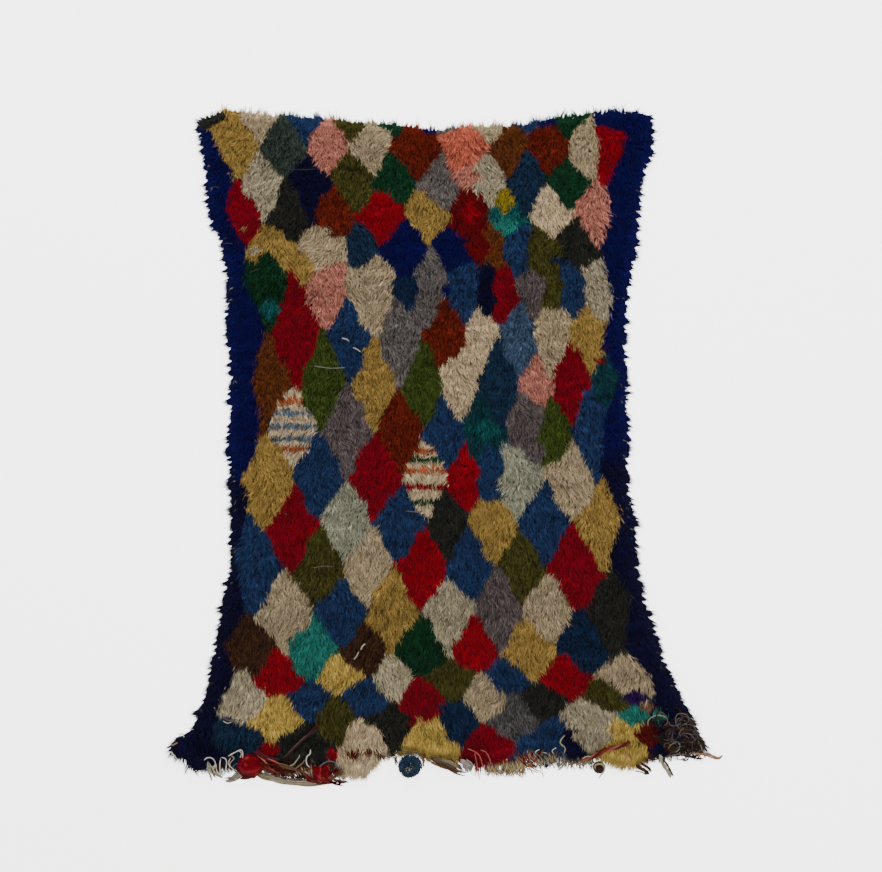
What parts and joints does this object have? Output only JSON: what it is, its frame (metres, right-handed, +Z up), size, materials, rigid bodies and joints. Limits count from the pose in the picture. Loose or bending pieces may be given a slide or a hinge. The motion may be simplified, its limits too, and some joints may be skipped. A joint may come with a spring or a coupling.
{
  "type": "berber rug",
  "caption": "Shaggy hand-knotted wool rug laid flat, drawn in at the waist and flared at its lower end, with loose warp and rag ends, rag knots and a yarn pompom there.",
  "frame": {"origin": "under the middle of the rug's box, on the floor that it lies on", "axes": "+Y along the rug to its upper end, +X across it, +Z up out of the pile"},
  "size_m": [1.6592, 2.0256, 0.0421],
  "materials": {
    "wool_pile": "long matte wool pile in many colours",
    "warp_and_rag_ends": "twisted wool, cotton and rag ends",
    "red_rag": "matte knotted rag",
    "blue_yarn": "matte wool yarn",
    "orange_rag": "matte rolled rag"
  },
  "bodies": {
    "root": {"pile_rug": "wool_pile", "lower_fringe": "warp_and_rag_ends", "large_rag_knot": "red_rag", "small_rag_knot": "red_rag", "blue_pompom": "blue_yarn", "rag_cord": "orange_rag"}
  },
  "joints": []
}
